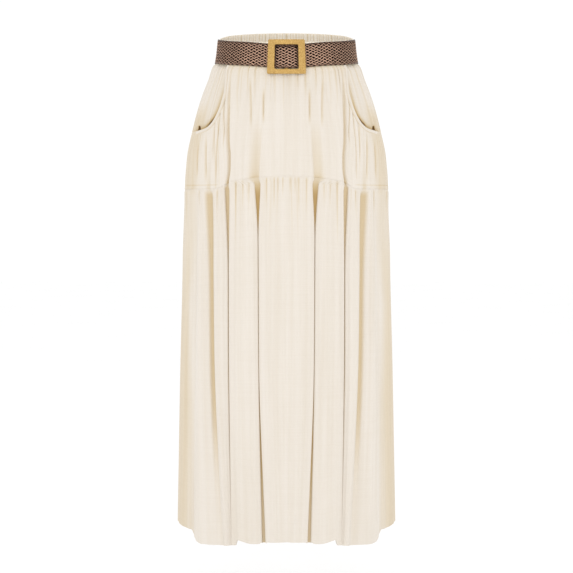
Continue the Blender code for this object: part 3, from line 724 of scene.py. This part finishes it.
def hipPanel(name, side):
    # one row of points lies just above the level where the mouth ends, the next just below it
    rows = np.concatenate([np.linspace(form["waistBottom"] - form["gap"], -0.1411, pocket["rowsAbove"]),
                           np.linspace(-0.142, pocket["bottom"], pocket["rowsBelow"])])
    piece, across, down = gridPiece(name, pocket["columns"], len(rows) - 1)
    level = rows[stepOf(down, len(rows) - 1)]
    angle = mix(pocket["inner"], seamAngle(level), across)
    drop = form["strapBottom"] - level
    soft = smooth(drop + 0.001, 0.005) * smooth(1 - across, 0.08) * smooth(across / 0.2)
    waves, low = gathers("panelWave", across, 6, drop)
    small, smallLow = gathers("panelSmall", across, 15, drop)
    fold = (0.0012 * waves + 0.0008 * small) * soft * (1 - 0.8 * smooth(angle - 62, 20))
    dip = np.max([recess(angle + near, level, frontFolds) for near in (-5, -2.5, 0, 2.5, 5)], axis=0)
    dip *= smooth(-0.12 - level, 0.03)
    points = place(angle, level, pocketOffset(angle, level) + fold - dip)
    points[:, 0] *= side
    # painted shade beside the rolled edge, and painted shadow in the small opening at the mouth's outer end
    away, which = nearMouth(np.column_stack([np.abs(points[:, 0]), points[:, 2]]), (0, 2))
    beside = mouthCurve[which, 2] * bell(np.maximum(away - 0.0014, 0), 0.0048)
    half = 0.0014 + 0.2 * np.clip(-0.1312 - level, 0, 0.01)
    corner = smooth((half - np.abs(np.abs(points[:, 0]) - 0.149)) / 0.0016 + 0.5)
    corner *= smooth(-0.1302 - level, 0.002) * (level > -0.1415)
    # painted shade in the gathers' valleys and under the strap
    lineShade = (0.45 * low + 0.5 * smallLow) * soft + 0.4 * fade(drop, 0.003)
    turnedShade = turnedAwayShade(angle, 58) * smooth(-0.08 - level, 0.05)
    lay(piece, points, beside + 1.4 * corner + lineShade + turnedShade, angle / 90 * 0.24, -level)
    return thicken(piece)


def mouthRim(name, side):
    # the rolled edge round the mouth: it rises softly from the front and rolls over the cut edge
    shown = mouthCurve[(mouthCurve[:, 1] < form["strapBottom"] - 0.0009) & (mouthCurve[:, 0] < 73)][:, :2]
    # across and up from the mouth's line, in shares of the rim's width and wall
    section = ((1, 0.02), (0.93, 0.1), (0.8, 0.42), (0.6, 0.75), (0.38, 0.98), (0.14, 1), (-0.04, 0.72),
               (-0.11, 0.1), (-0.1, -0.7), (-0.08, -1.2), (-0.03, -1.3), (-0.015, -0.6), (0.3, -0.02),
               (0.7, -0.02))
    around, last = len(section), len(shown) - 1
    piece, turn, way = gridPiece(name, around, last)
    index = stepOf(way, last)
    angle, level = shown[index].T
    step = place(*shown[np.minimum(index + 1, last)].T) - place(*shown[np.maximum(index - 1, 0)].T)
    step /= np.linalg.norm(step, axis=1)[:, None]
    normal = np.cross(place(angle, level - 0.004) - place(angle, level + 0.004),
                      place(angle + 1, level) - place(angle - 1, level))
    normal /= np.linalg.norm(normal, axis=1)[:, None]
    inward = np.cross(step, normal)
    across, lift = np.array(section)[stepOf(turn, around) % around].T
    distance = across * pocket["rimWidth"]
    rimLevel = level + inward[:, 2] * distance
    tangent = np.stack([np.cos(np.radians(angle)), np.sin(np.radians(angle)), 0 * angle], -1)
    rimAngle = angle + degrees(angle, rimLevel, (inward * tangent).sum(1) * distance)
    height = form["cloth"] / 2 + lift * pocket["rimWall"] * smooth(1 - way, 0.12)
    points = place(rimAngle, rimLevel) + normal * height[:, None]
    points[:, 0] *= side
    # painted shade on the roll over the cut edge and along the rim's outer border
    folded = 0.45 * smooth(-across + 0.06, 0.12) + 0.4 * smooth(across - 0.62, 0.36)
    lay(piece, points, folded, turn * 0.01, way * 0.2)
    edit(piece, bpy.ops.mesh.remove_doubles, threshold=2e-5)
    edit(piece, bpy.ops.mesh.fill_holes, sides=0)
    return closeUp(piece, 60)


for side, hand in ((1, "left"), (-1, "right")):
    panel = dress(hipPanel(f"{hand}HipPanel", side), skirtCloth, "skirt_cloth", f"{hand}_pocket_panel")
    rim = dress(mouthRim(f"{hand}PocketRim", side), skirtCloth, "skirt_cloth", f"{hand}_pocket_rim")
print("pockets made")

# lower tier

lowerTier = {
    "gathers": (4, 6, 5, 5, 5),  # in the back, from the centre lobe outwards
    "gatherHeight": 0.0009,
    "smallHeight": 0.0006,
    "waveHeight": 0.0007,
    "foldSteps": 20,
    "crown": 0.0045,
    "shoulder": 0.003,
    "rows": 84,
    "shadeDrops": (0.07, 0.2, 0.36),
    "sideShade": ((55, 64, 58), (0.18, 0.34, 0.38)),  # from which angle, and how much warm shade is painted
    "lobeSteps": {"front": (86, 48, 28, 44, 36), "back": (44, 46, 46, 44, 38)},
}


def foldAt(fold, level):
    # angle, mouth and depth of a groove
    drop = form["tierSeam"] - level
    way = drop / (form["tierSeam"] - form["hem"])
    angles, (atSeam, *mouths), depths = fold[5:8], fold[8:11], fold[11:13]
    rows = list(zip(angles, (mouths[0], *mouths), (depths[0], *depths)))
    angle, wide, depth = eased(rows, (0, 0.5, 1), way)
    wide = mix(atSeam, wide, smooth(drop / fold[13]) ** 0.8)
    depth = mix(fold[1], depth, smooth(drop / (0.035 if atSeam > 0 else 0.014)))
    return angle, wide, depth


def foldReach(fold, level):
    # towards the centre and towards the side; a soft valley is wider near the seam
    wider = 1 if fold[8] > 0 else 1.6 - 0.6 * smooth(form["tierSeam"] - level, 0.16)
    return fold[2] * wider, fold[3] * wider


def closedAt(fold, level):
    # how far the crease at the seam has turned into a groove, which a soft valley never does
    return smooth(form["tierSeam"] - level, 0.012) if fold[8] > 0 else 0


def shoulder(depth):
    return min(lowerTier["shoulder"], 0.6 * depth)


def foldSection(fold, hand, level, steps):
    # across one fold: the crease at the seam, turning into a groove with crisp edges below it
    angle, wide, depth = foldAt(fold, level)
    half = wide / 2 + form["cloth"] / 2
    r = shoulder(depth)
    low = max(mix(r, depth, 0.6), r)
    side = [(half + r, 0), (half + 0.3 * r, -0.3 * r), (half, -r), (half, -low), (half * 0.75, -depth)]
    control = [(-x, y) for x, y in side] + side[::-1]
    t = np.linspace(0, len(control) - 1, steps)
    along, out = eased(control, range(len(control)), t).T
    share = np.linspace(-1, 1, steps)
    reach = np.where(share * hand < 0, *foldReach(fold, level))
    shallowAngle = hand * angle + share * degrees(angle, level, reach)
    valley = depth * (1 - smooth(np.abs(share) - 0.42, 0.58))
    return shallowAngle, hand * angle + 0 * share, out, along, valley


def lobeEnds(stops, level):
    # the angles between which each lobe lies, from one side seam to the other
    starts, ends = [-seamAngle(level)], []
    for hand, fold in stops:
        angle, wide, depth = foldAt(fold, level)
        edge = wide / 2 + form["cloth"] / 2 + shoulder(depth)
        before, after = (mix(reach, edge, closedAt(fold, level)) for reach in foldReach(fold, level)[::hand])
        ends.append(hand * angle - degrees(angle, level, before))
        starts.append(hand * angle + degrees(angle, level, after))
    return list(zip(starts, ends + [seamAngle(level)]))


def pinchEdges(stops, isFront):
    # each lobe's gathers stand upright: their edges keep their angles all the way down
    middle = len(stops) // 2
    for lobe, (start, end) in enumerate(lobeEnds(stops, form["tierSeam"] - 0.03)):
        if isFront:
            inner = np.array(seamGathers[abs(lobe - middle)])[:, 0]
            inner = np.concatenate([-inner, inner]) if lobe == middle else np.sign(start + end) * inner
        else:
            count = lowerTier["gathers"][abs(lobe - middle)]
            uneven = 0.3 * rng.uniform(-1, 1, count - 1)
            inner = start + (end - start) * (np.arange(1, count) + uneven) / count
        yield np.concatenate([[start - 4], np.sort(inner), [end + 4]])


def lowerTierPiece(name, side):
    isFront = side == "front"
    folds = frontFolds if isFront else backFolds
    lobeSteps = lowerTier["lobeSteps"][side]
    shares = [np.linspace(0, 1, step) for step in (*reversed(lobeSteps[1:]), *lobeSteps)]
    stops = [(-1, fold) for fold in reversed(folds)] + [(1, fold) for fold in folds]
    last = len(stops)
    pinches = list(pinchEdges(stops, isFront))
    heights = [rng.uniform(0.6, 1, len(edges) - 1) for edges in pinches]
    lengths = [rng.uniform(0.02, 0.09, len(edges) - 1) for edges in pinches]
    finePhases = [unevenPhase(share, 10, 0.8) for share in shares]
    fineHeights = [rng.uniform(0, 1, 10) for _ in shares]
    fineLengths = [rng.uniform(0.01, 0.12, 10) for _ in shares]
    wander = [rng.uniform(0, 6.28, 4) for _ in shares]

    def onPanel(angle, level, out, along=0):
        if not isFront:
            return place(180 - angle, level + 0 * angle, out, -along)
        points = place(angle, level + 0 * angle, out, along)
        points[:, 2] += seamSag(angle, level) + hemShift(angle, level)
        return points

    def lobeRow(lobe, angles, level, sideShade):
        share, edges, drop = shares[lobe], pinches[lobe], form["tierSeam"] - level
        grow = smooth(drop / 0.006)
        bulge = 1 - (share if lobe == 0 else 1 - share if lobe == last else 2 * share - 1) ** 2
        phase = np.clip(np.interp(angles, edges, np.arange(len(edges))), 0, len(edges) - 1.001)
        tall, low = ridges(phase, heights[lobe], lengths[lobe], drop, 0.006, 0.6)
        fine, fineLow = ridges(finePhases[lobe], fineHeights[lobe], fineLengths[lobe], drop, 0.01, 0.7)
        calmEnd = smooth(share / 0.1) * smooth(1 - share, 0.1)
        long = (np.cos(share * 11.5 + wander[lobe][1] + 1.5 * drop) * 0.5
                + np.cos(share * 20 + wander[lobe][2] - 2.2 * drop) * 0.3)
        out = grow * (lowerTier["gatherHeight"] * tall + lowerTier["smallHeight"] * fine)
        out = calmEnd * (out + lowerTier["waveHeight"] * long * smooth(drop / 0.06))
        out += lowerTier["crown"] * smooth(drop / 0.12) * bulge
        out -= recess(angles, level, folds) * (1 - smooth(drop / 0.012))
        # painted shade in the gathers' valleys and along the pinch lines, and, on return, where the cloth
        # turns to the side
        lineShade = 0.42 * low + 0.4 * fineLow
        for degree, sharp, length in seamGathers[abs(lobe - last // 2)] if isFront else ():
            away = (np.abs(angles) - degree) / degrees(degree, level, 1)
            pinch = sharp * bell(away, 0.0011) * (1 - smooth(drop - 0.004, length))
            lineShade += pinch
            out -= 0.0009 * pinch * grow
        return onPanel(angles, level, out), lineShade * calmEnd * grow + turnedAwayShade(angles, *sideShade)

    def foldRow(hand, fold, level, sideShade):
        drop = form["tierSeam"] - level
        closed = closedAt(fold, level)
        angles, grooveAngle, out, along, valley = foldSection(fold, hand, level, lowerTier["foldSteps"] + 1)
        dip = mix(recess(angles, level + 0 * angles, folds), valley, smooth(drop / 0.01))
        points = mix(onPanel(angles, level, -dip), onPanel(grooveAngle, level, out, along), closed)
        # painted shade inside the groove, and in the soft valley before it closes, both lighter towards the
        # hem
        inGroove = fold[14] * smooth(-out - 0.0008, 0.0035) * (1 - 0.4 * smooth(drop - 0.4, 0.15))
        softShade = dip / 0.007 * (1 - 0.7 * smooth(drop - 0.36, 0.14))  # fades towards the hem
        shade = mix(softShade + turnedAwayShade(angles, *sideShade), inGroove, closed)
        return points[1:-1], shade[1:-1]

    rows = lowerTier["rows"]
    levels = mix(form["tierSeam"] - form["seamGap"] / 2, form["hem"], np.linspace(0, 1, rows + 1) ** 1.4)
    allPoints, allPaintedShade = [], []
    for level in levels:
        drop = form["tierSeam"] - level
        sideShade = [np.interp(drop, lowerTier["shadeDrops"], row) for row in lowerTier["sideShade"]]
        parts = []
        for lobe, (start, end) in enumerate(lobeEnds(stops, level)):
            parts.append(lobeRow(lobe, mix(start, end, shares[lobe]), level, sideShade))
            if lobe < last:
                parts.append(foldRow(*stops[lobe], level, sideShade))
        points, folded = zip(*parts)
        allPoints.append(np.concatenate(points))
        allPaintedShade.append(np.concatenate(folded))
    columns = len(allPoints[0]) - 1
    piece, across, down = gridPiece(name, columns, rows)
    row, column = stepOf(down, rows), stepOf(across, columns)
    widest = lengthAlong(allPoints[rows // 2])
    points, folded = np.array(allPoints)[row, column], np.array(allPaintedShade)[row, column]
    lay(piece, points, folded, widest[column], -levels[row])
    return thicken(piece), float(widest[-1])


frontLower, frontWide = lowerTierPiece("lowerTierFront", "front")
dress(frontLower, skirtCloth, "skirt_cloth", "front_lower_tier")
backLower, backWide = lowerTierPiece("lowerTierBack", "back")
dress(backLower, skirtCloth, "skirt_cloth", "back_lower_tier")
print("lower tier made", round(frontWide, 3), round(backWide, 3))

# waistband: elastic casing with close upright gathers

waistband = {"wall": 0.0024, "ribs": 132, "columns": 792, "ribHeight": 0.0007}


def waistbandPiece():
    half = waistband["wall"] / 2
    low, high = form["waistBottom"], form["waistTop"]
    loop = [(low, -half), (low + 0.004, -half), (mix(low, high, 0.3), -half), (mix(low, high, 0.6), -half),
            (high - 0.005, -half), (high - 0.0012, -half), (high, -0.4 * half), (high, 0.4 * half),
            (high - 0.0012, half), (high - 0.005, half), (mix(low, high, 0.5), half), (low, half)]
    piece, across, down = gridPiece("elasticWaistband", waistband["columns"], len(loop))
    angle = 360 * across
    level, out = np.array(loop)[stepOf(down, len(loop)) % len(loop)].T
    ribs = waistband["ribs"]
    phase = across * ribs + 0.3 * np.sin(across * 2 * math.pi * 17) + 0.2 * np.sin(across * 2 * math.pi * 41)
    heights = rng.uniform(0.5, 1, ribs + 1)
    slot = np.floor(phase).astype(int) % ribs
    bump = np.abs(np.sin(math.pi * phase)) ** 0.8
    inner = out < 0
    rib = waistband["ribHeight"] * heights[slot] * bump
    body = np.abs(out) >= 0.9 * half
    shift = np.where(body, np.where(inner, rib - 0.0001, -0.0003 + 0.3 * rib), 0)
    aside = smooth(np.abs(np.sin(np.radians(angle))) - 0.86, 0.14)
    level = level - np.where(level > high - 0.001, 0.0006 * (1 - bump), 0)
    level -= 0.001 * aside * (level > high - 0.006)
    # painted shade between the ribs
    lay(piece, place(angle, level, out + shift), 0.6 * (1 - bump) ** 1.5, across * 0.72, -level)
    return closeUp(piece, 60)


waist = dress(waistbandPiece(), waistLightenedCloth, "waistband_cloth", "waistband")
print("waistband made")

# belt: flat plait of strands crossing over and under, modelled as one tile, then wrapped round

belt = {
    "wall": 0.003,
    "rows": 8,  # openings up the belt in one column
    "tiles": 68,
    "strandGrid": (8, 6),  # along and round a strand
    "strandWide": 0.00155,
    "strandThick": 0.0011,
    "weaveHeight": 0.00042,
    "lift": 0.0018 + 2 * 0.0003,
    "liftReach": 0.032,
    "barWide": 0.006,
    "edgeCord": 0.003,
}


waistHalf = float(ringAt(0)[1])


def strapOut(angle):
    distance = np.radians(fromFront(angle)) * waistHalf
    lift = belt["lift"] * (1 - smooth(distance - belt["barWide"], belt["liftReach"]))
    return waistband["wall"] / 2 + form["gap"] + belt["wall"] / 2 + lift


roundAngles = np.linspace(0, 360, 1441)
roundPlaces = place(roundAngles, 0 * roundAngles, strapOut(roundAngles))
roundLength = lengthAlong(roundPlaces)
beltLength = float(roundLength[-1])
tileLong = beltLength / belt["tiles"]


def wrap(points):
    # x along the belt from its back centre, y up it, z out from its middle
    angle = 180 + np.interp(points[:, 0] % beltLength, roundLength, roundAngles)
    placed = place(angle, points[:, 1], strapOut(angle) + points[:, 2])
    placed[:, 2] -= strapSag(angle)
    return placed


def strand(rising, row):
    # one strand from the start of the tile to its end, moving up or down by one row
    piece, along, turn = gridPiece("strand", *belt["strandGrid"])
    low, high = form["strapBottom"] + 0.0012, form["strapTop"] - 0.0012
    pitch = (high - low) / belt["rows"]
    hand = 1 if rising else -1
    x = along * tileLong
    y = low + pitch * (row + (along if rising else 1 - along))
    z = belt["weaveHeight"] * np.cos(2 * math.pi * along) * hand
    z *= smooth(np.minimum(y - low, high - y) / (0.6 * pitch))
    spin = 2 * math.pi * turn
    slope = math.atan2(pitch, tileLong) * hand
    wide, thick = belt["strandWide"] / 2 * np.cos(spin), belt["strandThick"] / 2 * np.sin(spin)
    # painted shade where the strand dips under its neighbours, and on its sides and back
    underShade = 0.85 * smooth(0.3 - z / belt["weaveHeight"], 1.3)
    points = np.stack([x - wide * math.sin(slope), y + wide * math.cos(slope), z + thick], -1)
    lay(piece, points, underShade + 1 - smooth(np.sin(spin) - 0.05, 0.95))
    return piece


def plaitPiece():
    tile = joined("plait", [strand(rising, row) for rising in (True, False) for row in range(belt["rows"])])
    array = tile.modifiers.new("along the belt", "ARRAY")
    array.count = belt["tiles"]
    array.use_relative_offset = False
    array.use_constant_offset = True
    array.constant_offset_displace = (tileLong, 0, 0)
    applyModifiers(tile)
    points = getPoints(tile)
    # strands aren't drawn equally tight
    x, y = points[:, 0], points[:, 1]
    for waves, size in ((9, 0.0003), (23, 0.00022)):
        turn = 2 * math.pi * waves * x / beltLength
        points[:, 1] += size * np.sin(turn + 300 * y)
        points[:, 0] += size * np.cos(turn + 410 * y)
    # painted shade beside and below the buckle's frame, along the strap's edges and towards its ends
    layer = tile.data.attributes["folded"].data
    shade = np.empty(len(points), np.float32)
    layer.foreach_get("value", shade)
    fromCentre = np.abs(x - beltLength / 2)
    beside = np.exp(-np.abs(fromCentre - 0.0189) / 0.0019) * (fromCentre < 0.0194)
    below = np.exp(-np.abs(y - 0.0168) / 0.0014) * (fromCentre < 0.019)
    edge = np.exp((y - form["strapTop"]) / 0.0022) + 0.5 * np.exp((form["strapBottom"] - y) / 0.002)
    shade += 0.9 * beside + 0.7 * below + 0.8 * edge + 0.28 * smooth(fromCentre - 0.055, 0.05)
    layer.foreach_set("value", np.clip(shade, 0, 1))
    setPoints(tile, wrap(points))
    return closeUp(tile, 180, 1e-6)


def closeRound(piece, along, y, z, folded, angle):
    # a strip that goes right round the belt and meets itself
    lay(piece, wrap(np.stack([np.where(along > 0.9999, 0, along * beltLength), y, z], -1)), folded)
    return closeUp(piece, angle)


def edgeCord(level, cordShade):
    piece, along, turn = gridPiece("edgeCord", belt["tiles"] * 4, 8)
    spin = 2 * math.pi * turn
    beat = np.cos(2 * math.pi * along * belt["tiles"])
    y = level + belt["edgeCord"] / 2 * np.cos(spin) + 0.00025 * beat
    z = 0.0008 * np.sin(spin) * (1 + 0.12 * beat)
    return closeRound(piece, along, y, z, cordShade - 0.18 * beat, 180)


# the near-black core behind the plait, its colour standing in for the shade in the openings
def beltCore():
    low, high = form["strapBottom"] + 0.001, form["strapTop"] - 0.001
    corners = [(low, -0.0014), (high, -0.0014), (high, -0.0007), (low, -0.0007)]
    piece, along, turn = gridPiece("beltCore", 240, len(corners))
    y, z = np.array(corners)[stepOf(turn, len(corners)) % len(corners)].T
    return closeRound(piece, along, y, z, 0 * y, 1)


# painted shade on the edge cords, deeper at the top
cords = [edgeCord(form["strapTop"] - 0.0016, 0.95), edgeCord(form["strapBottom"] + 0.0016, 0.85)]
plait = joined("beltPlait", [plaitPiece(), *cords])
dress(plait, beltLeather, "strap_leather", "belt_strap")
dress(beltCore(), beltDark, "strap_leather")
print("belt made", round(beltLength, 3))

# buckle

buckle = {
    "wide": 0.0606,
    "high": 0.0608,
    "windowWide": 0.0378,
    "windowTop": 0.009,
    "windowBottom": 0.0087,
    "wall": 0.0032,
    "drop": 0.0048,
    "corner": 0.0022,
    "bevel": 0.0012,
    "barWide": 0.006,
    "barWall": 0.0018,
    "leg": 0.0019,
}


def onStrap(across, level, out):
    angle = np.degrees(across / waistHalf)
    low, high = form["strapBottom"], form["strapTop"]
    bottom, top = (place(angle, edge + 0 * angle, strapOut(angle) + out) for edge in (low, high))
    return mix(bottom, top, ((level - low) / (high - low))[:, None])


def roundFrame(bm):
    # upright corner edges first, then the rest; the long faces are cut so that they follow the strap
    cornered = [e for e in bm.edges if e.calc_face_angle(0) > 0.5]
    upright = [e for e in cornered if abs(e.verts[0].co.z - e.verts[1].co.z) > 0.001]
    bmesh.ops.bevel(bm, geom=upright, offset=buckle["corner"], segments=4, affect="EDGES", profile=0.5)
    sharp = [e for e in bm.edges if e.calc_face_angle(0) > 1]
    bmesh.ops.bevel(bm, geom=sharp, offset=buckle["bevel"], segments=3, affect="EDGES", profile=0.6)
    bmesh.ops.triangulate(bm, faces=bm.faces)
    long = [e for e in bm.edges if abs(e.verts[0].co.x - e.verts[1].co.x) > 0.008]
    bmesh.ops.subdivide_edges(bm, edges=long, cuts=5)


def bucklePiece():
    middle = (form["strapTop"] + form["strapBottom"]) / 2 - buckle["drop"]
    w, h, window = buckle["wide"] / 2, buckle["high"] / 2, buckle["windowWide"] / 2
    piece, across, down = gridPiece("squareBuckle", 3, 3)
    # grid lines move to the window's edges
    x = np.array((-w, -window, window, w))[stepOf(across, 3)]
    z = np.array((h, h - buckle["windowTop"], -h + buckle["windowBottom"], -h))[stepOf(down, 3)]
    setPoints(piece, np.stack([x, z, 0 * x], -1))
    onMesh(piece, dropFaces, lambda face: max(map(abs, face.calc_center_median())) < 0.01)
    rise = {"value": (0, 0, buckle["wall"])}
    edit(piece, bpy.ops.mesh.extrude_region_move, TRANSFORM_OT_translate=rise)
    closeUp(piece)
    onMesh(piece, roundFrame)
    points = getPoints(piece)
    back = belt["wall"] / 2 + form["gap"]
    setPoints(piece, onStrap(points[:, 0], middle + points[:, 1], back + points[:, 2]))
    return closeUp(joined("squareBuckle", [piece, buckleBar(middle)]), 35)


def buckleBar(middle):
    # the hidden bar that the strap goes round
    leg = buckle["leg"]
    top = middle + buckle["high"] / 2 - buckle["windowTop"] / 2 + leg / 2
    bottom = middle - buckle["high"] / 2 + buckle["windowBottom"] - leg
    piece = added(bpy.ops.mesh.primitive_cube_add, size=1)
    edit(piece, bpy.ops.mesh.bevel, offset=0.2, segments=2, affect="EDGES", offset_type="PERCENT")
    x, y, z = getPoints(piece).T
    out = -belt["wall"] / 2 - form["gap"] - buckle["barWall"] * (0.5 - z)
    setPoints(piece, onStrap(x * buckle["barWide"], mix(bottom, top, y + 0.5), out))
    return piece


dress(bucklePiece(), buckleGold, "buckle_metal", "buckle")
print("buckle made")

# studio

studio = {
    "cameraPlace": (0, -2.93, -0.25),
    "tilt": 3.128,
    "lens": 105.2,
    "floor": -1.02,
    "world": 1.03,
    "key": 10.2,
    "fill": 5.3,
    "side": 6.3,
    "tint": (1, 0.985, 0.96),
}

pitch = math.radians(90 - studio["tilt"])
camera = added(bpy.ops.object.camera_add, location=studio["cameraPlace"], rotation=(pitch, 0, 0))
camera.data.lens = studio["lens"]
camera.data.sensor_width = 36
camera.data.clip_end = 60
bpy.context.scene.camera = camera

floor = added(bpy.ops.mesh.primitive_plane_add, size=24, location=(0, 0, studio["floor"]))
floor.name = "paleFloor"
floorPaint, floorTree, floorShader, coords = newMaterial("paleFloorPaint")
speck = noiseOn(floorTree, coords, 3)
give(floorTree, floorShader.inputs["Base Color"], ramp(floorTree, speck, (0.3, 0.965), (0.7, 0.98)))
floorShader.inputs["Roughness"].default_value = 0.9
floor.data.materials.append(floorPaint)


def softLight(name, place, aim, size, power):
    light = bpy.data.lights.new(name, "AREA")
    light.shape = "DISK"
    light.size = size
    light.energy = power
    light.color = studio["tint"]
    lamp = bpy.data.objects.new(name, light)
    bpy.context.scene.collection.objects.link(lamp)
    lamp.location = place
    x, y, z = np.array(aim) - np.array(place)
    lamp.rotation_euler = (math.atan2(math.hypot(x, y), -z), 0, math.atan2(y, x) - math.pi / 2)


softLight("keyLight", (0, -2.8, 1.3), (0, 0, -0.3), 1.6, studio["key"])
softLight("fillLight", (0, -2.8, -0.55), (0, 0, -0.6), 1.8, studio["fill"])
for hand in (-1, 1):
    softLight("sideLight", (2.6 * hand, -0.9, -0.3), (0, 0, -0.5), 1.8, studio["side"])

world = bpy.data.worlds.new("studioWhite")
bpy.context.scene.world = world
world.use_nodes = True
background = world.node_tree.nodes["Background"]
background.inputs["Color"].default_value = (1, 1, 1, 1)
background.inputs["Strength"].default_value = studio["world"]
bpy.context.scene.view_settings.view_transform = "Standard"
bpy.context.scene.view_settings.look = "None"
print("studio set")
